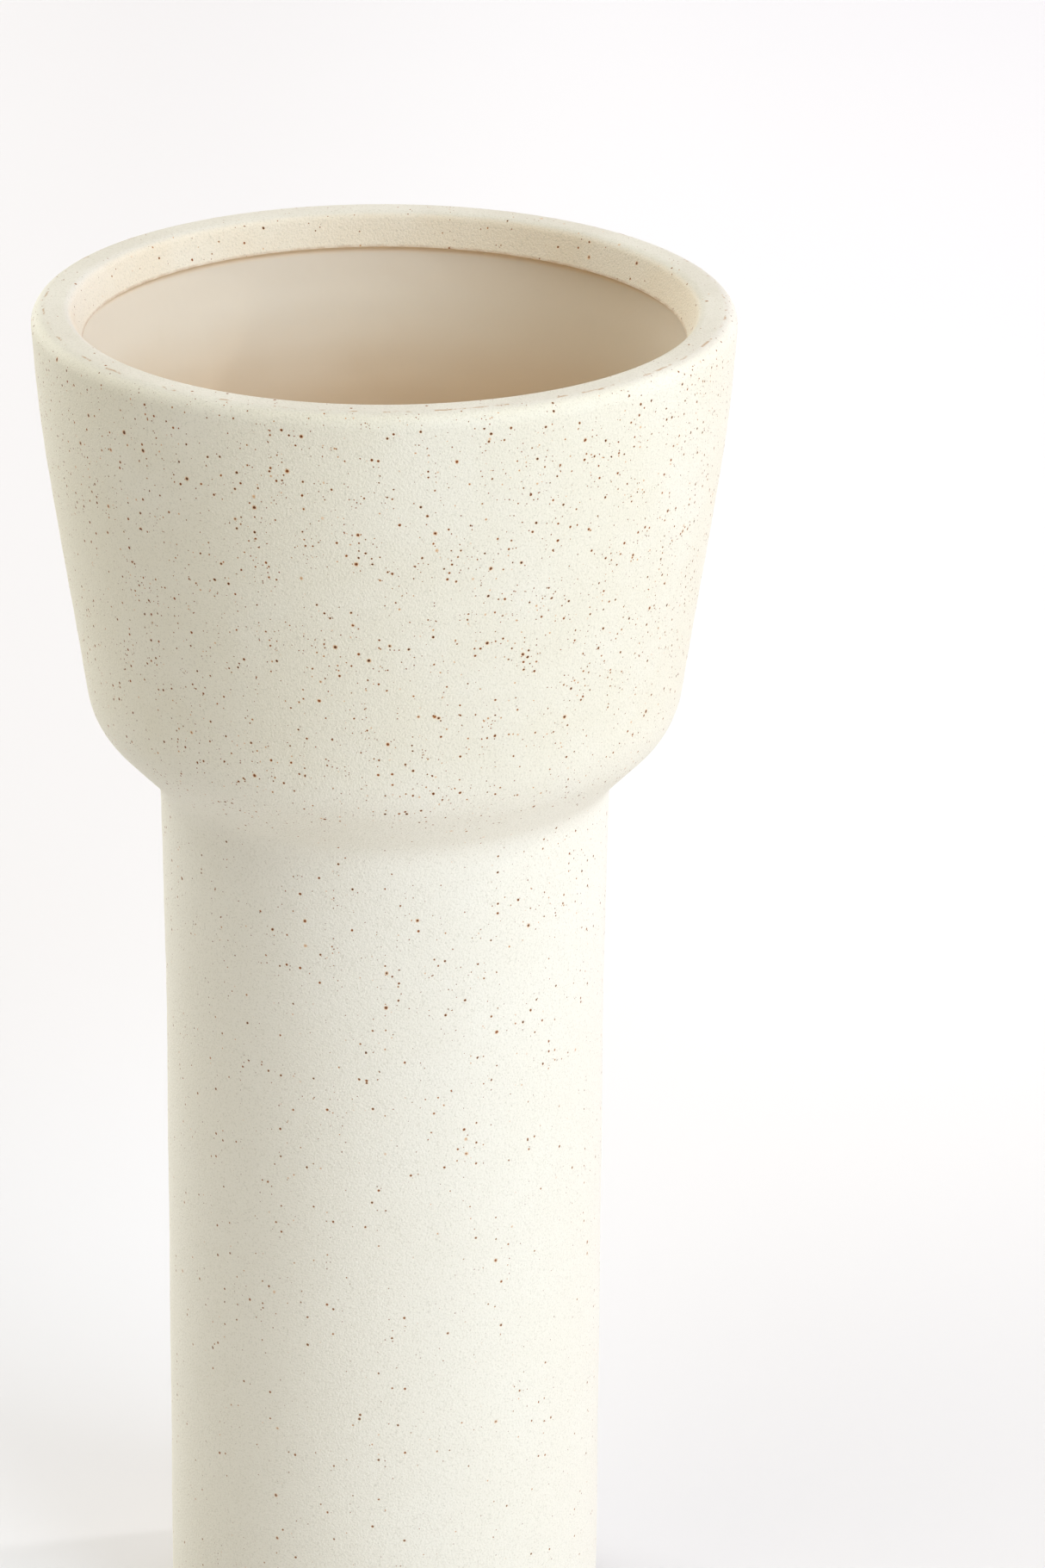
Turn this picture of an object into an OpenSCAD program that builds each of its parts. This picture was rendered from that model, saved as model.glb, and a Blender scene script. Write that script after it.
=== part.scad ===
// Stoneware vase: a wide bowl on a tall straight column, thrown in sections and luted with slip.
// It stands on Z = 0 and its axis is Z. All sizes are in millimetres.

/* [Overall] */
// Height from the table to the flat rim
vase_h = 310; // [290:1:340]
// Outer diameter at the rim, before its edge is rounded
rim_d = 150; // [149:0.2:156]
// Outer diameter of the column
column_d = 96.2; // [92:0.2:98]

/* [Bowl] */
// Height of the bowl, from the column's top to the rim
bowl_h = 106; // [102:0.5:112]
// Height of the bowl's flared underside
underside_h = 15; // [14:0.5:18]
// Outer diameter at the bowl's lower corner
corner_d = 126.8; // [124:0.2:130]
// Height below the rim where the bowl's side bends a little
bend_drop = 23.5; // [23:0.5:32]
// How far the side bows out there, past a straight line from corner to rim
bow = 1.5; // [0.6:0.1:1.8]

/* [Rim] */
// Inner diameter of the flat rim
lip_d = 132.8; // [130:0.2:136]
// Diameter of the narrowest place, at the lower edge of the inner band
throat_d = 127.6; // [124:0.2:129]
// Height of the inner band
band_h = 7.4; // [5:0.2:10]
// How far the bowl's inside steps back under the band
undercut = 1.5; // [1:0.1:3]

/* [Walls] */
// Thickness of the bowl's wall
bowl_wall_t = 8; // [7:0.1:9]
// Thickness of the column's wall
column_wall_t = 7.6; // [6:0.1:9]
// Thickness of the floor, above the foot's recess
floor_t = 7; // [6:0.1:9]
// Thickness of each glaze coat
glaze_t = 0.5; // [0.3:0.1:0.8]

/* [Foot] */
// Height of the foot ring
foot_h = 2.4; // [2:0.2:3]
// How far the foot ring stands in from the column's side
foot_inset = 2.1; // [1.6:0.1:4]
// Width of the foot ring
foot_w = 7; // [5:0.5:9]
// Height of the bare strip of clay above the table
bare_h = 3.6; // [3.6:0.2:8]

/* [Joints] */
// Thickness of the slip in a joint
slip_t = 0.8; // [0.4:0.1:1.2]
// Height of the step that keys one section to the next
step_h = 2; // [1:0.5:3]

/* [Hidden] */

CLAY = "#d9cbb0";
SLIP = "#c2b08f";
LINER = "#cdb08a";
MATTE = "#ecebdf";

// The largest turn between two points of a rounded corner, in degrees
arc_step = 5;
turn_fn = 180;

column_r = column_d / 2;
// The column spreads by this much in its last few centimetres
flare_w = 0.8;
flare_h = 45;
column_top = vase_h - bowl_h;
corner_z = column_top + underside_h;
corner_r = corner_d / 2;
bend_z = vase_h - bend_drop;
bend_r = bow + corner_r + (rim_d / 2 - corner_r) * (bend_z - corner_z) / (vase_h - corner_z);
floor_z = foot_h + floor_t;
ledge_z = vase_h - band_h;
ledge_drop = 1;
throat_r = throat_d / 2;
column_in_r = column_r - column_wall_t;
// The inside corners sit higher than the outside ones, so the wall stays even round the bends
corner_rise = 3.2;
column_rise = 4.6;
// The clay's lower edge is cut back by this much
base_bevel = 1.5;

// Each corner of an outline is [radius, height, rounding]. The wall lies to the left of the path.
OUTSIDE = [
    [column_r, bare_h, 0],
    [column_r, column_top - flare_h, 300],
    [column_r + flare_w, column_top, 10.5],
    [corner_r, corner_z, 19],
    [bend_r, bend_z, 260],
    [rim_d / 2, vase_h, 3.6],
    [lip_d / 2, vase_h, 2.6],
    [throat_r, ledge_z, 0],
];
INSIDE = [
    [throat_r, ledge_z, 0],
    [throat_r + undercut, ledge_z - ledge_drop, 1.2],
    [bend_r - bowl_wall_t, bend_z, 150],
    [corner_r - bowl_wall_t, corner_z + corner_rise, 14],
    [column_in_r, column_top + column_rise, 14],
    [column_in_r, floor_z, 9],
    [0, floor_z, 0],
];
LIP = len(OUTSIDE) - 1;
SKIN = concat(OUTSIDE, [for (k = [1:len(INSIDE) - 1]) INSIDE[k]]);

function flat(c) = [c[0], c[1]];
function heading(a, b) = (flat(b) - flat(a)) / norm(flat(b) - flat(a));
function left_of(v) = [-v[1], v[0]];
function side(u, v) = sign(u[0] * v[1] - u[1] * v[0]);
function span(path, a, b) = [for (k = [a:b]) path[k]];
function backwards(path) = [for (k = [len(path) - 1:-1:0]) path[k]];

// The outline moved d into the wall, with its rounded corners kept concentric
function sunk(path, d) = [
    for (k = [0:len(path) - 1])
        let (
            last = len(path) - 1,
            u = k == 0 ? heading(path[0], path[1]) : heading(path[k - 1], path[k]),
            v = k == last ? u : heading(path[k], path[k + 1]),
            m = left_of(u) + left_of(v),
            p = flat(path[k]) + m * d / (1 + u * v),
            r = path[k][2]
        )
        [p[0], p[1], r == 0 ? 0 : r - d * side(u, v)]
];

// The points of the rounded corner b, between its neighbours a and c
function corner(a, b, c) =
    let (
        u = heading(a, b),
        v = heading(b, c),
        turn = acos(u * v),
        start = flat(b) - u * b[2] * tan(turn / 2),
        toward = left_of(u) * side(u, v),
        n = ceil(turn / arc_step)
    )
    [for (i = [0:n]) let (t = turn * i / n) start + b[2] * (u * sin(t) + toward * (1 - cos(t)))];

function rounded(path) = [
    flat(path[0]),
    for (k = [1:len(path) - 2])
        each (path[k][2] == 0 ? [flat(path[k])] : corner(path[k - 1], path[k], path[k + 1])),
    flat(path[len(path) - 1]),
];

BISQUE = sunk(SKIN, glaze_t);

foot_r = column_r - foot_inset;

// Half section of the fired clay under its glaze, without the foot ring
module clay_section() {
    polygon(concat(
        [[0, foot_h], [column_r - base_bevel, foot_h], [column_r, bare_h]],
        rounded(BISQUE)
    ));
}

// Half section of a glaze coat over corners a to b of the outline
module coat_section(a, b) {
    polygon(concat(rounded(span(SKIN, a, b)), backwards(rounded(span(BISQUE, a, b)))));
}

// Each joint is [height, radius of its step]. The step runs round the middle of the wall.
JOINT_BASE = [floor_z + 6, column_r - column_wall_t / 2];
JOINT_COLUMN = [column_top / 2, column_r - column_wall_t / 2];
JOINT_SHOULDER = [column_top - 6, column_r - column_wall_t / 2 + 0.3];
JOINT_BOWL = [corner_z + 12, corner_r - bowl_wall_t / 2 + 1.4];
JOINT_RIM = [ledge_z - 7, (rim_d - bowl_wall_t) / 2 - 1];

// The space under a stepped joint, raised and widened by lift
module under_joint(joint, lift) {
    square([rim_d, joint[0] + lift]);
    square([joint[1] + lift, joint[0] + step_h + lift]);
}

// Turned clay from joint low up to joint high, less half the slip at each. It needs at least one.
module clay(low, high) {
    color(CLAY)
        rotate_extrude($fn = turn_fn)
            difference() {
                intersection() {
                    clay_section();
                    if (high) under_joint(high, -slip_t / 2);
                    else square([rim_d, vase_h]);
                }
                if (low) under_joint(low, slip_t / 2);
            }
}

// The ring of slip that fills a joint
module slip(joint) {
    color(SLIP)
        rotate_extrude($fn = turn_fn)
            intersection() {
                clay_section();
                difference() {
                    under_joint(joint, slip_t / 2);
                    under_joint(joint, -slip_t / 2);
                }
            }
}

// The turned ring that the vase stands on, with its lower edges eased
module foot_ring() {
    ease = 0.6;
    inner_r = foot_r - foot_w;
    color(CLAY)
        rotate_extrude($fn = turn_fn)
            polygon([
                [inner_r, ease],
                [inner_r + ease, 0],
                [foot_r - ease, 0],
                [foot_r, ease],
                [foot_r, foot_h - slip_t],
                [inner_r, foot_h - slip_t],
            ]);
}

module slip_foot() {
    color(SLIP)
        rotate_extrude($fn = turn_fn)
            translate([foot_r - foot_w, foot_h - slip_t])
                square([foot_w, slip_t]);
}

// The floor of the column, with the first stretch of its wall
module column_base() { clay(undef, JOINT_BASE); }
module column_lower() { clay(JOINT_BASE, JOINT_COLUMN); }
module column_upper() { clay(JOINT_COLUMN, JOINT_SHOULDER); }
// The flared underside that carries the bowl's wall
module bowl_floor() { clay(JOINT_SHOULDER, JOINT_BOWL); }
module bowl_wall() { clay(JOINT_BOWL, JOINT_RIM); }
// The thick flat rim, with the band inside it and the step back under the band
module rim_collar() { clay(JOINT_RIM, undef); }

module slip_base() { slip(JOINT_BASE); }
module slip_column() { slip(JOINT_COLUMN); }
module slip_shoulder() { slip(JOINT_SHOULDER); }
module slip_bowl() { slip(JOINT_BOWL); }
module slip_rim() { slip(JOINT_RIM); }

// The glossy coat inside, from under the rim's band down to the floor
module liner_glaze() {
    color(LINER)
        rotate_extrude($fn = turn_fn)
            coat_section(LIP, len(SKIN) - 1);
}

// The matte speckled coat outside, over the rim and down its inner band
module outer_glaze() {
    color(MATTE)
        rotate_extrude($fn = turn_fn)
            coat_section(0, LIP);
}

foot_ring();
column_base();
column_lower();
column_upper();
bowl_floor();
bowl_wall();
rim_collar();
slip_foot();
slip_base();
slip_column();
slip_shoulder();
slip_bowl();
slip_rim();
liner_glaze();
outer_glaze();
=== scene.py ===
"""A stoneware vase: speckled matte glaze outside, smooth satin glaze inside, bare clay at the foot."""
import math

import bpy
import numpy as np
from mathutils import Matrix, Vector


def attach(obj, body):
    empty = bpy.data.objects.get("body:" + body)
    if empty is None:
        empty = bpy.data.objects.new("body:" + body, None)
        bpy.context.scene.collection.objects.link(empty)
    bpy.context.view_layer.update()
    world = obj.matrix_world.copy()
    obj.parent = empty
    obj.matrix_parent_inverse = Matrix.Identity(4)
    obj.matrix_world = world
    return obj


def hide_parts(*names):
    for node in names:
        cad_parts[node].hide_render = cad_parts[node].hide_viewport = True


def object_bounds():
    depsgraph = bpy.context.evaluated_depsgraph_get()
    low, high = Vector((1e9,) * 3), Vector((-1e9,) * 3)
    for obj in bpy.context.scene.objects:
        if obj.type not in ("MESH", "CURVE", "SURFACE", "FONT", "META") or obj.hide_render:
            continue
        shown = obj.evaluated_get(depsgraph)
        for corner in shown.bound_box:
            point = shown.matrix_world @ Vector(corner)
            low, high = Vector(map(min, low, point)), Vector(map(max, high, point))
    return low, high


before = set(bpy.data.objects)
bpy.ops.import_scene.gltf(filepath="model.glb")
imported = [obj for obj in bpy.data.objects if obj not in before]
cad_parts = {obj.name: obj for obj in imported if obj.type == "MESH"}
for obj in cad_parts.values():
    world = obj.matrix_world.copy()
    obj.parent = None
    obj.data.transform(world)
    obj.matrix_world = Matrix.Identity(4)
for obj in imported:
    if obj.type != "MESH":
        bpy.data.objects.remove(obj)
CAD_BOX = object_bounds()

# ---------------------------------------------------------------- sizes
MM = 0.001
TAU = 2 * math.pi

VASE_H = CAD_BOX[1].z / MM
BARE_H = 3.6
COLUMN_R = 48.1
COLUMN_TOP = VASE_H - 106
CORNER_R = 63.4
CORNER_Z = COLUMN_TOP + 15
BEND_R = 73.5
BEND_Z = VASE_H - 23.5
RIM_R = 75
LIP_R = 66.4
WALL_T = 8
THROAT_R = 63.8
COLUMN_IN_R = 40.5
LEDGE_Z = VASE_H - 7.4
FLOOR_Z = 9.4
GLAZE_T = 0.5
EDGE_R = 72  # where the outer edge of the flat top begins to turn down

# The finished outline, as corners of [radius, height, rounding] in millimetres
OUTSIDE = [
    [COLUMN_R, BARE_H, 0],
    [COLUMN_R, COLUMN_TOP - 45, 300],
    [COLUMN_R + 0.8, COLUMN_TOP, 10.5],
    [CORNER_R, CORNER_Z, 19],
    [BEND_R, BEND_Z, 260],
    [RIM_R, VASE_H, 3.6],
    [LIP_R, VASE_H, 2.6],
    [THROAT_R, LEDGE_Z, 0],
]
INSIDE = [
    [THROAT_R, LEDGE_Z, 0],
    [THROAT_R + 1.5, LEDGE_Z - 1, 1.2],
    [BEND_R - WALL_T, BEND_Z, 150],
    [CORNER_R - WALL_T, CORNER_Z + 3.2, 14],
    [COLUMN_IN_R, COLUMN_TOP + 4.6, 14],
    [COLUMN_IN_R, FLOOR_Z, 9],
    [0, FLOOR_Z, 0],
]

POINT_STEP = 1.2  # the largest gap between two points along the outline
TURN_STEP = math.radians(9)  # and the largest turn between them
TURN_N = 384  # points round the vase
SWAY_EASE = 6  # the wall is true again within this distance of the band's lower edge
LIP_OF_GLAZE = 1.2  # height over which the glaze thins out above the bare clay
THINNEST = 0.12  # the glaze that is left at its lower edge
TINY = 1e-9  # a normal shorter than this has no direction


# ---------------------------------------------------------------- shape
def unit(v):
    return v / np.linalg.norm(v)


def corner_points(before, corner, after):
    """The points of one rounded corner, evenly turned from the first heading to the second."""
    b = np.array(corner[:2], float)
    u = unit(b - before[:2])
    v = unit(after[:2] - b)
    cross = u[0] * v[1] - u[1] * v[0]
    turn = math.acos(np.clip(u @ v, -1, 1))
    toward = np.array([-u[1], u[0]]) * np.sign(cross)
    start = b - u * corner[2] * math.tan(turn / 2)
    n = max(math.ceil(turn / TURN_STEP), math.ceil(turn * corner[2] / POINT_STEP))
    steps = [turn * i / n for i in range(n + 1)]
    return [start + corner[2] * (u * math.sin(t) + toward * (1 - math.cos(t))) for t in steps]


def rounded(path):
    """The whole outline as points, never further apart than POINT_STEP."""
    path = [np.array(c, float) for c in path]
    bends = [path[0][:2]]
    for before, corner, after in zip(path, path[1:], path[2:]):
        bends += corner_points(before, corner, after)
    bends.append(path[-1][:2])
    points = [bends[0]]
    for a, b in zip(bends, bends[1:]):
        n = max(1, math.ceil(np.linalg.norm(b - a) / POINT_STEP))
        points += [a + (b - a) * i / n for i in range(1, n + 1)]
    return np.array(points)


def sway(angle, height):
    """How far the thrown wall strays inward of its true outline, in millimetres."""
    lobes = 0.07 * np.sin(2 * angle + 0.7) + 0.04 * np.sin(3 * angle + 2.1 + height / 60)
    swell = 0.045 * np.sin(height * TAU / 47 + 1.3 + 0.6 * np.sin(angle))
    rings = 0.02 * np.sin(height * TAU / 9.5 + angle)
    return 0.19 + lobes + swell + rings


def turned(path, thins_at_foot=False):
    """A coat of glaze swept round the axis: its face, its back on the clay, and the face's normals."""
    points = rounded(path)
    along = np.gradient(points, axis=0)
    out = np.stack([along[:, 1], -along[:, 0]], 1)
    out /= np.linalg.norm(out, axis=1)[:, None]
    run = np.concatenate([[0], np.cumsum(np.linalg.norm(np.diff(points, axis=0), axis=1))])
    to_band = run[-1] - run if thins_at_foot else run
    angle = np.arange(TURN_N) * TAU / TURN_N
    ease = np.clip(to_band / SWAY_EASE, 0, 1)[:, None]
    inward = sway(angle[None, :], points[:, 1:]) * ease
    if thins_at_foot:
        thin = np.clip(1 - run / LIP_OF_GLAZE, 0, 1)[:, None] ** 2
        inward = inward + (GLAZE_T - THINNEST - inward) * thin
    inward = np.minimum(inward, points[:, :1])

    def sweep(depth):
        flat = points[:, None, :] - out[:, None, :] * depth[:, :, None]
        flat[..., 0] = np.maximum(flat[..., 0], 0)
        return np.stack([flat[..., 0] * np.cos(angle), flat[..., 0] * np.sin(angle), flat[..., 1]], 2)

    face = sweep(inward)
    back = sweep(np.full_like(inward, GLAZE_T))
    round_it = np.roll(face, -1, axis=1) - np.roll(face, 1, axis=1)
    up_it = np.gradient(face, axis=0)
    normal = np.cross(round_it, up_it)
    across = out[:, :1]
    plain = np.stack([across * np.cos(angle), across * np.sin(angle), out[:, 1:] + 0 * angle], 2)
    size = np.linalg.norm(normal, axis=2, keepdims=True)
    normal = np.where(size > TINY, normal / np.maximum(size, TINY), plain)
    return {"face": face * MM, "back": back * MM, "normal": normal, "height": points[:, 1], "run": run}


def skin_faces(n, m, steps):
    """The quads of a piece's face, each followed by its twin on the back."""
    back = n * m
    faces = []
    for i in range(n - 1):
        for j, k in steps:
            quad = (i * m + j, i * m + k, (i + 1) * m + k, (i + 1) * m + j)
            faces.append(quad)
            faces.append(tuple(back + v for v in reversed(quad)))
    return faces


def edge_faces(n, m, steps, whole):
    """The quads that close a piece along its first and last rows and, if it has them, its two sides."""
    back = n * m
    top = (n - 1) * m
    faces = []
    for j, k in steps:
        faces.append((j, back + j, back + k, k))
        faces.append((top + k, back + top + k, back + top + j, top + j))
    if whole:
        return faces
    for i in range(n - 1):
        low, high = i * m, (i + 1) * m
        faces.append((low, high, back + high, back + low))
        low, high = low + m - 1, high + m - 1
        faces.append((high, low, back + low, back + high))
    return faces


def shaded_mesh(name, verts, normals, skin, edges):
    """A mesh whose skin is smooth, with the given normals, and whose edges are flat."""
    faces = skin + edges
    mesh = bpy.data.meshes.new(name)
    mesh.from_pydata(verts.tolist(), [], faces)
    smooth = np.zeros(len(faces), bool)
    smooth[:len(skin)] = True
    mesh.polygons.foreach_set("use_smooth", smooth)
    corners = np.zeros(len(mesh.loops), int)
    mesh.loops.foreach_get("vertex_index", corners)
    custom = normals[corners]
    custom[4 * len(skin):] = 0
    mesh.normals_split_custom_set(custom.tolist())
    return mesh


def shell(name, coat, rows, first=0, count=TURN_N):
    """One closed piece of a coat, over the given rows and count columns from the first."""
    whole = count == TURN_N
    columns = [(first + k) % TURN_N for k in range(count if whole else count + 1)]
    n, m = len(rows), len(columns)
    pick = np.ix_(rows, columns)
    face, back, normal = (coat[part][pick].reshape(-1, 3) for part in ("face", "back", "normal"))
    verts = np.concatenate([face, back])
    normals = np.concatenate([normal, -normal])
    steps = [(j, (j + 1) % m) for j in range(m if whole else m - 1)]
    skin = skin_faces(n, m, steps)
    edges = edge_faces(n, m, steps, whole)
    piece = bpy.data.objects.new(name, shaded_mesh(name, verts, normals, skin, edges))
    bpy.context.scene.collection.objects.link(piece)
    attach(piece, "root")
    return piece


def rows_between(coat, low, high):
    """The rows of a coat from one distance along its outline to another, both ends included."""
    first = int(np.argmin(np.abs(coat["run"] - low)))
    last = int(np.argmin(np.abs(coat["run"] - high)))
    return list(range(first, last + 1))


def run_at(coat, height):
    """The distance along the outline of the point nearest to a height, or of the first of them."""
    near = np.abs(coat["height"] - height)
    return coat["run"][int(np.argmin(near))]


# ---------------------------------------------------------------- materials
def tint(red, green, blue):
    """A colour as the shader wants it, from its usual 0 to 255 values."""
    values = [c / 255 for c in (red, green, blue)]
    return tuple(c / 12.92 if c <= 0.04045 else ((c + 0.055) / 1.055) ** 2.4 for c in values) + (1,)


# Where the Mix node keeps its two colours and its result
COLOUR_A = 6
COLOUR_B = 7
MIXED = 2


class Graph:
    """A material whose nodes are written as calls. Each call returns the socket that holds its result."""

    def __init__(self, name):
        self.material = bpy.data.materials.new(name)
        self.material.use_nodes = True
        self.tree = self.material.node_tree
        self.tree.nodes.clear()

    def node(self, kind, inputs=None, **settings):
        made = self.tree.nodes.new(kind)
        for key, value in settings.items():
            setattr(made, key, value)
        for key, value in (inputs or {}).items():
            if isinstance(value, bpy.types.NodeSocket):
                self.tree.links.new(value, made.inputs[key])
            else:
                made.inputs[key].default_value = value
        return made

    def math(self, operation, *values, clamp=False):
        inputs = dict(enumerate(values))
        return self.node("ShaderNodeMath", inputs, operation=operation, use_clamp=clamp).outputs[0]

    def times(self, a, b):
        return self.math("MULTIPLY", a, b)

    def place(self):
        return self.node("ShaderNodeTexCoord").outputs["Object"]

    def split(self, vector):
        made = self.node("ShaderNodeSeparateXYZ", {"Vector": vector})
        return made.outputs["X"], made.outputs["Y"], made.outputs["Z"]

    def noise(self, vector, wave, detail=2.0, roughness=0.5):
        """Soft noise from 0 to 1, whose waves are about the given length in metres."""
        inputs = {"Vector": vector, "Scale": 1 / wave, "Detail": detail, "Roughness": roughness}
        return self.node("ShaderNodeTexNoise", inputs).outputs["Fac"]

    def stray(self, vector, wave, reach):
        """The place moved about by up to the given reach, so that what is drawn on it has ragged edges."""
        noise = self.node("ShaderNodeTexNoise", {"Vector": vector, "Scale": 1 / wave, "Detail": 1.0})
        centred = self.node(
            "ShaderNodeVectorMath", {0: noise.outputs["Color"], 1: (0.5, 0.5, 0.5)}, operation="SUBTRACT"
        )
        moved = self.node(
            "ShaderNodeVectorMath",
            {0: centred.outputs[0], 1: (2 * reach,) * 3, 2: vector},
            operation="MULTIPLY_ADD",
        )
        return moved.outputs[0]

    def smooth(self, value, low, high, to_low=0.0, to_high=1.0):
        """Eases from to_low to to_high as the value goes from low to high."""
        inputs = {"Value": value, "From Min": low, "From Max": high, "To Min": to_low, "To Max": to_high}
        return self.node("ShaderNodeMapRange", inputs, interpolation_type="SMOOTHSTEP").outputs["Result"]

    def ramp(self, value, stops):
        """A colour that depends on a value. Each stop is (value, colour)."""
        made = self.node("ShaderNodeValToRGB", {"Fac": value})
        elements = made.color_ramp.elements
        while len(elements) < len(stops):
            elements.new(0.5)
        for element, (at, colour) in zip(elements, stops):
            element.position = at
            element.color = colour
        return made.outputs["Color"]

    def mix(self, amount, low, high):
        made = self.node("ShaderNodeMix", {"Factor": amount}, data_type="RGBA")
        for index, value in ((COLOUR_A, low), (COLOUR_B, high)):
            if isinstance(value, bpy.types.NodeSocket):
                self.tree.links.new(value, made.inputs[index])
            else:
                made.inputs[index].default_value = value
        return made.outputs[MIXED]

    def bump(self, height, depth):
        inputs = {"Height": height, "Distance": depth, "Strength": 1.0}
        return self.node("ShaderNodeBump", inputs).outputs["Normal"]

    def specks(self, vector, cell, reach, share):
        """Scattered round spots: how deep each point lies in its spot, from 0 to 1, and the spot's lot.

        There is about one seed for each cell. A spot's radius is 0.4 to 1 of reach, and share is the
        part of the seeds that show.
        """
        cells = self.node("ShaderNodeTexVoronoi", {"Vector": vector, "Scale": 1 / cell})
        lot = self.node("ShaderNodeSeparateColor", {"Color": cells.outputs["Color"]})
        shown = self.math("LESS_THAN", lot.outputs[0], share)
        radius = self.math("MULTIPLY_ADD", lot.outputs[1], 0.6 * reach / cell, 0.4 * reach / cell)
        inside = self.math("DIVIDE", cells.outputs["Distance"], radius)
        depth = self.math("SUBTRACT", 1.0, inside, clamp=True)
        return self.math("MULTIPLY", depth, shown), lot.outputs[2]

    def finish(self, colour, roughness, normal=None, **uniform):
        inputs = {"Base Color": colour, "Roughness": roughness, **uniform}
        if normal is not None:
            inputs["Normal"] = normal
        shader = self.node("ShaderNodeBsdfPrincipled", inputs)
        output = self.node("ShaderNodeOutputMaterial")
        self.tree.links.new(shader.outputs[0], output.inputs["Surface"])
        return self.material


CREAM = tint(228, 221, 203)
CREAM_PALE = tint(231, 225, 209)
CREAM_WARM = tint(224, 216, 194)
# The rim's colour: partly painted shade on the flat top
RIM_CREAM_PAINTED_SHADE = tint(213, 205, 187)
BAND_CREAM = tint(225, 211, 185)
GRAIN = tint(181, 172, 148)
HALO = tint(208, 146, 66)
RUST = tint(126, 62, 12)
IRON = tint(74, 38, 10)
TOFFEE = tint(150, 90, 32)
THIN_GLAZE = tint(178, 140, 98)


# How many specks show, as (height over the vase's height, share). The fold under the bowl has few.
CROWD = [
    (0.10, 0.21),
    (0.31, 0.26),
    (0.50, 0.38),
    (0.64, 0.50),
    (0.66, 0.16),
    (0.675, 0.20),
    (0.70, 0.85),
    (0.80, 1.0),
]

# Three sizes of speck, in metres: the cell that holds a seed, the speck's reach, and the share that show
PEPPER = (0.00084, 0.00020, 0.38)
SPOTS = (0.0014, 0.00041, 0.46)
BLOOMS = (0.0034, 0.00066, 0.30)

# Zones of the coat, in millimetres. Each pair runs from where a zone is absent to where it is full.
RIM_HEIGHTS = (VASE_H - 14.5, VASE_H - 13)
RIM_RADII = (73.8, 72.2)
BAND_RADII = (67.2, 66.0)
EDGE_LINE_REACH = (0.34, 0.08)  # distance from the worn line at the edge of the top
EDGE_LINE_HEIGHTS = (VASE_H - 2, VASE_H - 1)
EDGE_WANDER = 1.2  # how far that line wanders, from side to side
BAND_EDGE_HEIGHTS = (LEDGE_Z + 0.7, LEDGE_Z + 0.1)
BAND_EDGE_R = 66.5
BOWL_HEIGHTS = (CORNER_Z - 8, CORNER_Z + 14)


def within(g, value, zone):
    """How far a value in metres lies in a zone that is given in millimetres, from 0 to 1."""
    absent, full = zone
    return g.smooth(value, absent * MM, full * MM)


def speck_crowd(g, place, high, on_rim):
    """How many specks show: by height, in patches, and fewer on the rim."""
    crowd = g.ramp(high, [(at, (share, share, share, 1)) for at, share in CROWD])
    patchy = g.smooth(g.noise(place, 0.009, 3.0, 0.6), 0.32, 0.68, 0.30, 1.70)
    crowd = g.times(crowd, patchy)
    return g.times(crowd, g.math("MULTIPLY_ADD", on_rim, -0.72, 1.0))


def scattered(g, vector, kind, crowd):
    cell, reach, share = kind
    return g.specks(vector, cell, reach, g.times(crowd, share))


def with_halo(g, colour, depth, bold, edge, strength):
    """The colour with a tan halo round each speck."""
    return g.mix(g.times(g.smooth(depth, 0.0, edge, 0.0, strength), bold), colour, HALO)


def with_core(g, colour, depth, bold, zone, speck):
    """The colour with the speck's own colour in its middle."""
    return g.mix(g.times(g.smooth(depth, *zone), bold), colour, speck)


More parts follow.
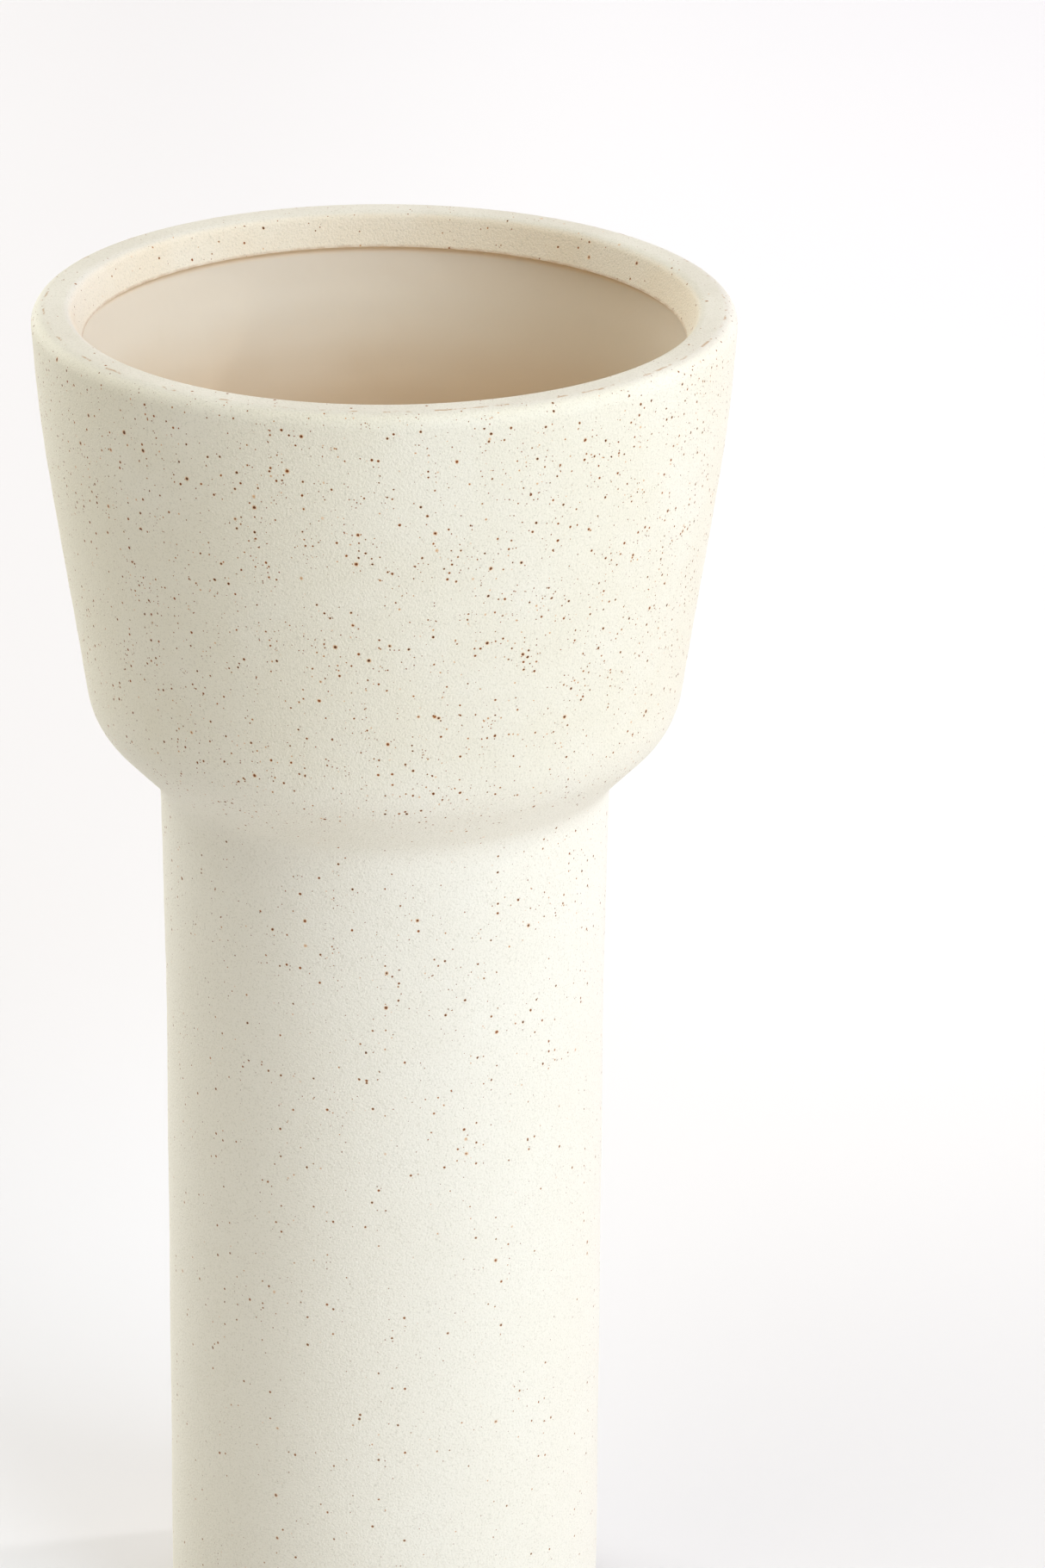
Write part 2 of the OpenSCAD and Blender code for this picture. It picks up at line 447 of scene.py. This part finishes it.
def matte_glaze():
    """The outer glaze: cream, sandy to the eye, with iron specks that gather towards the bowl."""
    g = Graph("matte_glaze")
    place = g.place()
    x, y, z = g.split(place)
    radius = g.math("SQRT", g.math("ADD", g.times(x, x), g.times(y, y)))
    high = g.math("DIVIDE", z, VASE_H * MM)

    # Where on the vase: the rim with its band, the top's outer edge, the band's lower edge, the bowl
    rim_half = within(g, z, RIM_HEIGHTS)
    on_rim = g.times(rim_half, within(g, radius, RIM_RADII))
    on_band = g.times(rim_half, within(g, radius, BAND_RADII))
    on_bowl = within(g, z, BOWL_HEIGHTS)
    wander_from = (EDGE_R - EDGE_WANDER / 2) * MM
    wander = g.math("MULTIPLY_ADD", g.noise(place, 0.006, 2.0), EDGE_WANDER * MM, wander_from)
    at_edge = g.math("ABSOLUTE", g.math("SUBTRACT", radius, wander))
    edge_line = g.times(within(g, at_edge, EDGE_LINE_REACH), within(g, z, EDGE_LINE_HEIGHTS))
    inside_band = g.math("LESS_THAN", radius, BAND_EDGE_R * MM)
    band_edge = g.times(within(g, z, BAND_EDGE_HEIGHTS), inside_band)
    band_edge = g.times(band_edge, rim_half)

    crowd = speck_crowd(g, place, high, on_rim)
    bold = g.smooth(high, 0.25, 0.72, 0.85, 1.0)
    ragged = g.stray(place, 0.0006, 0.00010)
    pepper, pepper_lot = scattered(g, ragged, PEPPER, crowd)
    spots, spots_lot = scattered(g, ragged, SPOTS, crowd)
    blooms, blooms_lot = scattered(g, ragged, BLOOMS, crowd)

    # Base colour: warmer on the bowl, with a faint slow drift, then a fine sandy grain
    colour = g.mix(on_bowl, CREAM, CREAM_WARM)
    # The rim's flat top is darker than the wall; part of this is painted shade, standing in for less light
    # on the top than the lamps give it
    colour = g.mix(on_rim, colour, RIM_CREAM_PAINTED_SHADE)
    colour = g.mix(on_band, colour, BAND_CREAM)
    drift = g.noise(place, 0.030, 3.0, 0.55)
    colour = g.mix(g.smooth(drift, 0.40, 0.70, 0.0, 0.35), colour, CREAM_PALE)
    grain = g.noise(place, 0.00045, 3.0, 0.7)
    colour = g.mix(g.smooth(grain, 0.50, 0.74, 0.0, 0.50), colour, GRAIN)

    # The glaze breaks thin and brown in short dashes round the top's outer edge, and along the
    # band's lower edge
    dash = g.smooth(g.noise(g.stray(place, 0.002, 0.0006), 0.0035, 3.0, 0.65), 0.52, 0.62)
    colour = g.mix(g.times(g.times(edge_line, dash), 0.75), colour, THIN_GLAZE)
    nick = g.smooth(g.noise(place, 0.0028, 2.0, 0.6), 0.35, 0.62, 0.45, 1.0)
    colour = g.mix(g.times(g.times(band_edge, nick), 0.55), colour, THIN_GLAZE)

    # Specks: a tan halo round the larger ones, then a middle from rust to a darker brown
    colour = with_halo(g, colour, blooms, bold, 0.40, 0.65)
    colour = with_core(g, colour, blooms, bold, (0.38, 0.54), g.mix(blooms_lot, RUST, IRON))
    colour = with_halo(g, colour, spots, bold, 0.30, 0.75)
    colour = with_core(g, colour, spots, bold, (0.26, 0.42), g.mix(spots_lot, RUST, IRON))
    colour = with_core(g, colour, pepper, bold, (0.02, 0.30), g.mix(pepper_lot, RUST, TOFFEE))

    relief = g.math("ADD", g.noise(place, 0.00050, 3.0, 0.65), g.times(spots, -0.6))
    normal = g.bump(relief, 0.00020)
    rough = g.math("MULTIPLY_ADD", grain, 0.14, 0.50)
    return g.finish(colour, rough, normal, **{"Specular IOR Level": 0.3})


LINER_PALE = tint(231, 220, 199)
# The liner's colour low in the bowl, which is painted shade
LINER_SHADED_TAN = tint(216, 193, 161)
# The liner under the band: thin glaze and painted light in the undercut
UNDERCUT_THIN_GLAZE_AND_LIGHT = tint(238, 208, 164)
LINER_SHADE_HEIGHTS = (VASE_H - 40, VASE_H - 14)  # from where the liner is tan to where it is pale
UNDER_BAND_HEIGHTS = (LEDGE_Z - 2.2, LEDGE_Z - 0.4)


def satin_liner():
    """The inner glaze: smooth and warm beige, with painted shade that makes it tanner and darker low down
    in the bowl.
    """
    g = Graph("satin_liner")
    place = g.place()
    z = g.split(place)[2]
    cloud = g.noise(place, 0.030, 2.0, 0.5)
    level = g.math("MULTIPLY_ADD", cloud, 0.008, z)
    # Painted shade: the liner turns tan and darker low in the bowl, where less light reaches
    colour = g.mix(within(g, level, LINER_SHADE_HEIGHTS), LINER_SHADED_TAN, LINER_PALE)
    # Under the band the liner is a light orange: partly the glaze thinning at the edge, partly painted
    # light that lifts the shade in the undercut
    under_band = within(g, z, UNDER_BAND_HEIGHTS)
    colour = g.mix(g.times(under_band, 0.7), colour, UNDERCUT_THIN_GLAZE_AND_LIGHT)
    dimple = g.noise(place, 0.009, 2.0, 0.5)
    rough = g.math("MULTIPLY_ADD", cloud, 0.10, 0.34)
    coat = {"Coat Weight": 0.5, "Coat Roughness": 0.45}
    return g.finish(colour, rough, g.bump(dimple, 0.00025), **coat)


CLAY = tint(203, 184, 152)
CLAY_DARK = tint(168, 146, 114)
SLIP = tint(188, 168, 136)
SLIP_DARK = tint(160, 139, 108)


def blotched(g, place, wave, pale, dark):
    """A colour in soft blotches of about the given size in metres."""
    return g.mix(g.smooth(g.noise(place, wave, 3.0, 0.6), 0.30, 0.75), pale, dark)


def bare_clay():
    """Fired clay with no glaze: buff, dry and gritty."""
    g = Graph("bare_clay")
    place = g.place()
    colour = blotched(g, place, 0.012, CLAY, CLAY_DARK)
    grit, lot = g.specks(g.stray(place, 0.001, 0.0002), 0.0014, 0.0003, 0.30)
    colour = g.mix(g.smooth(grit, 0.0, 0.4, 0.0, 0.8), colour, g.mix(lot, RUST, IRON))
    tooth = g.noise(place, 0.0006, 3.0, 0.7)
    rough = g.math("MULTIPLY_ADD", tooth, 0.15, 0.80)
    return g.finish(colour, rough, g.bump(tooth, 0.00012))


def hidden_clay():
    """The same clay where glaze covers it. Only its colour varies."""
    g = Graph("hidden_clay")
    return g.finish(blotched(g, g.place(), 0.012, CLAY, CLAY_DARK), 0.9)


def joint_slip():
    """The slip that holds the sections together: the same clay, finer and darker."""
    g = Graph("joint_slip")
    return g.finish(blotched(g, g.place(), 0.005, SLIP, SLIP_DARK), 0.85)


# ---------------------------------------------------------------- pieces
COLUMN_SPLIT = 111.5  # height at which the column's coat is divided
BOWL_SPLIT = CORNER_Z + 0.3  # height at which the bowl's coat begins
RIM_SPLIT = VASE_H - 5  # height at which the rim's coat begins
LINER_SPLITS = (COLUMN_TOP + 4, 108)


def coat_pieces(coat, name, low, high, sectors, first, material):
    """Divides one belt of the outer coat into equal sectors, so that each keeps its specks sharp."""
    count = TURN_N // sectors
    rows = rows_between(coat, low, high)
    for k in range(sectors):
        piece = shell(f"{name}_{k + 1}", coat, rows, first + k * count, count)
        piece.data.materials.append(material)
        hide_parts("outer_glaze")


def outer_coat():
    coat = turned(OUTSIDE, thins_at_foot=True)
    material = matte_glaze()
    column = run_at(coat, COLUMN_SPLIT)
    bowl = run_at(coat, BOWL_SPLIT)
    rim = run_at(coat, RIM_SPLIT)
    end = coat["run"][-1]
    eighth = TURN_N // 8
    coat_pieces(coat, "glaze_column_low", 0, column, 3, TURN_N // 12, material)
    coat_pieces(coat, "glaze_column_high", column, bowl, 4, eighth, material)
    coat_pieces(coat, "glaze_bowl", bowl, rim, 4, eighth, material)
    coat_pieces(coat, "glaze_rim", rim, end, 4, eighth, material)


def inner_coat():
    coat = turned(INSIDE)
    material = satin_liner()
    shoulder, middle = (run_at(coat, height) for height in LINER_SPLITS)
    spans = {
        "liner_bowl": (0, shoulder),
        "liner_column_high": (shoulder, middle),
        "liner_column_low": (middle, coat["run"][-1]),
    }
    for name, (low, high) in spans.items():
        piece = shell(name, coat, rows_between(coat, low, high))
        piece.data.materials.append(material)
        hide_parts("liner_glaze")


def finish_cad_nodes():
    """Gives every CAD node that stays its clay or slip."""
    shown = bare_clay()
    covered = hidden_clay()
    slip = joint_slip()
    for name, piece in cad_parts.items():
        if name.startswith("slip"):
            material = slip
        elif name in ("foot_ring", "column_base"):
            material = shown
        else:
            material = covered
        for slot in piece.material_slots:
            slot.material = material


# ---------------------------------------------------------------- stage
FLOOR_REACH = 20  # half the floor's side, in metres, as are the distances below
CAMERA_BACK = 1.4297  # from the vase's axis
CAMERA_ABOVE_RIM = 0.4536
CAMERA_DOWN = math.radians(21.484)
CAMERA_RIGHT = math.radians(1.196)  # turned so that the vase stands left of the middle
LENS = 162.78  # in millimetres, like the sensor
SENSOR_W = 36
SIGHT = 100  # how far the camera sees
LIGHT_SIZE = 2.0
LIGHT_AWAY = 2.6
KEY_SIZE = 0.15
WORLD_LIGHT = 0.27


def camera():
    data = bpy.data.cameras.new("camera")
    data.lens = LENS
    data.sensor_width = SENSOR_W
    data.clip_end = SIGHT
    cam = bpy.data.objects.new("camera", data)
    bpy.context.scene.collection.objects.link(cam)
    ahead = Vector((
        math.sin(CAMERA_RIGHT) * math.cos(CAMERA_DOWN),
        math.cos(CAMERA_RIGHT) * math.cos(CAMERA_DOWN),
        -math.sin(CAMERA_DOWN),
    ))
    # Up is square to X, so the vase's axis is upright in the picture
    up = Vector((1, 0, 0)).cross(ahead).normalized()
    right = ahead.cross(up)
    cam.matrix_world = Matrix.LocRotScale(
        Vector((0, -CAMERA_BACK, CAD_BOX[1].z + CAMERA_ABOVE_RIM)),
        Matrix((right, up, -ahead)).transposed(),
        None,
    )
    bpy.context.scene.camera = cam


def floor_paper_painted_light_and_shade():
    """White paper with painted light and shade: painted shade darkens it on the left at the back and on
    the right near the vase, where the lamps light it too brightly, and painted light brightens it on the
    left near the vase, where their soft shadow falls.
    """
    g = Graph("floor_paper_painted_light_and_shade")
    x, y, _ = g.split(g.place())
    across = g.smooth(x, -0.12, 0.12)
    # Painted shade and painted light on the floor, at the back and near the vase
    far = g.mix(across, tint(220, 215, 209), tint(229, 225, 219))
    near = g.mix(across, tint(225, 223, 220), tint(219, 214, 208))
    return g.finish(g.mix(g.smooth(y, 0.42, 0.06), far, near), 0.9)


def floor():
    mesh = bpy.data.meshes.new("floor")
    r = FLOOR_REACH
    mesh.from_pydata([(-r, -r, 0), (r, -r, 0), (r, r, 0), (-r, r, 0)], [], [(0, 1, 2, 3)])
    piece = bpy.data.objects.new("floor", mesh)
    bpy.context.scene.collection.objects.link(piece)
    mesh.materials.append(floor_paper_painted_light_and_shade())


def area_light(name, azimuth, elevation, power, colour, size=LIGHT_SIZE):
    """A square light aimed at the vase's middle. Azimuth 0 is the camera's side, 90 the right."""
    data = bpy.data.lights.new(name, "AREA")
    data.shape = "SQUARE"
    data.size = size
    data.energy = power
    data.color = colour
    light = bpy.data.objects.new(name, data)
    bpy.context.scene.collection.objects.link(light)
    a, e = math.radians(azimuth), math.radians(elevation)
    away = Vector((math.sin(a) * math.cos(e), -math.cos(a) * math.cos(e), math.sin(e)))
    light.location = Vector((0, 0, CAD_BOX[1].z / 2)) + away * LIGHT_AWAY
    light.rotation_mode = "QUATERNION"
    light.rotation_quaternion = away.to_track_quat("Z", "Y")
    light.visible_camera = False


def lights():
    """Soft lights all round. Their tints were fitted so that the render's colours match the photo's."""
    area_light("front_right", 45, 20, 47, (1.02, 1.12, 1.33))
    area_light("above_right", 50, 42, 9, (0.85, 1.10, 1.18))
    area_light("back_right", 140, 15, 14, (0.93, 0.80, 1.28))
    area_light("above_back", 140, 45, 8, (1.0, 1.0, 0.98))
    area_light("key", 104, 35, 13, (1.0, 1.0, 1.05), KEY_SIZE)
    area_light("back_left", 225, 20, 53, (0.95, 1.01, 1.04))
    area_light("above_left", 300, 50, 7, (1.15, 1.0, 0.70))
    area_light("overhead", 280, 78, 18, (1.0, 1.0, 0.98))
    world = bpy.data.worlds.new("studio")
    world.use_nodes = True
    backdrop = world.node_tree.nodes["Background"]
    backdrop.inputs["Color"].default_value = (1, 1, 1, 1)
    backdrop.inputs["Strength"].default_value = WORLD_LIGHT
    bpy.context.scene.world = world
    bpy.context.scene.view_settings.view_transform = "Standard"


camera()
floor()
lights()
outer_coat()
inner_coat()
finish_cad_nodes()
